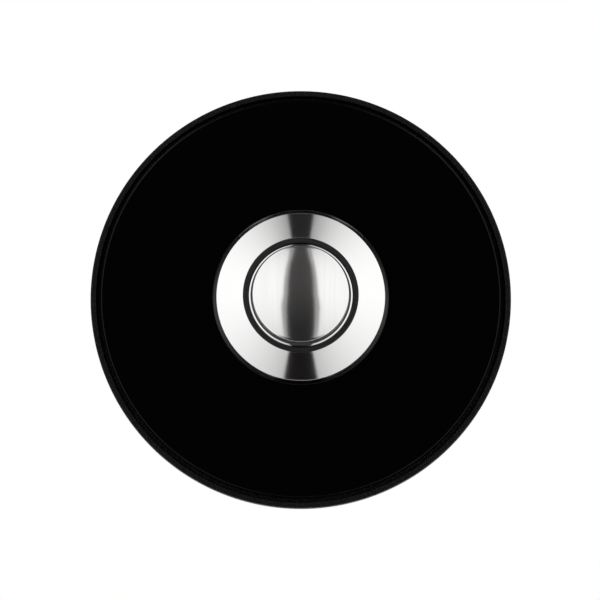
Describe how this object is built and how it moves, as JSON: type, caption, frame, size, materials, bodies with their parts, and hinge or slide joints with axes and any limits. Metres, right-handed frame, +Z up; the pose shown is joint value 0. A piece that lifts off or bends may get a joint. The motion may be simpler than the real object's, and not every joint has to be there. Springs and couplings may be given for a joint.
{
  "type": "round push button",
  "caption": "Round wall push button: a black textured rosette with a bevelled stainless momentary switch and a domed pusher, screw terminals behind.",
  "frame": {"origin": "centre of the wall plane that the back of the rosette rests on", "axes": "-Y towards the finger (the front), +Y into the wall along the switch barrel, +Z up, +X to the right as seen from the front"},
  "size_m": [0.055, 0.0359, 0.055],
  "materials": {
    "ring_black": "textured powder coat",
    "face_black": "smooth deep black",
    "zinc_plate": "zinc plated",
    "foam_rubber": "matte",
    "black_steel": "black oxide",
    "stainless": "turned",
    "gasket_rubber": "matte",
    "bush_plastic": "matte",
    "spring_steel": "satin",
    "nickel": "nickel plated",
    "block_plastic": "moulded",
    "brass": "satin",
    "silver": "satin",
    "base_plastic": "moulded",
    "brushed_stainless": "fine vertical brushing",
    "stem_steel": "ground",
    "natural_nylon": "moulded",
    "copper_alloy": "satin"
  },
  "bodies": {
    "rosette": {"rosette_ring": "ring_black", "face_plate": "face_black", "wall_plate": "zinc_plate", "wall_gasket": "foam_rubber", "ring_set_screw": "black_steel", "switch_housing": "stainless", "head_gasket": "gasket_rubber", "guide_bush": "bush_plastic", "stem_seal": "gasket_rubber", "spring_seat": "spring_steel", "lock_washer": "spring_steel", "mounting_nut": "nickel", "contact_block": "block_plastic", "fixed_contacts": "brass", "fixed_tips": "silver", "block_circlip": "spring_steel", "terminal_base": "base_plastic", "terminal_clamps": "brass", "terminal_screws": "zinc_plate", "base_screws": "zinc_plate", "return_spring": "spring_steel"},
    "pusher": {"pusher_cap": "brushed_stainless", "pusher_stem": "stem_steel", "stem_clip": "black_steel", "contact_carrier": "natural_nylon", "contact_spring": "spring_steel"},
    "bridge": {"contact_bridge": "copper_alloy", "bridge_tips": "silver"}
  },
  "joints": [
    {"name": "pusher_press", "type": "slide", "parent": "rosette", "child": "pusher", "axis": [0, 1, 0], "range_m": [0, 0.0018], "stiffness_N_per_m": 1000, "springref_m": -0.001, "deforming": ["return_spring"]},
    {"name": "bridge_overtravel", "type": "slide", "parent": "pusher", "child": "bridge", "axis": [0, -1, 0], "range_m": [0, 0.0006], "deforming": ["contact_spring"]}
  ],
  "couplings": [
    {"joint": "bridge_overtravel", "follows": "pusher_press", "ratio": 0.33333}
  ]
}
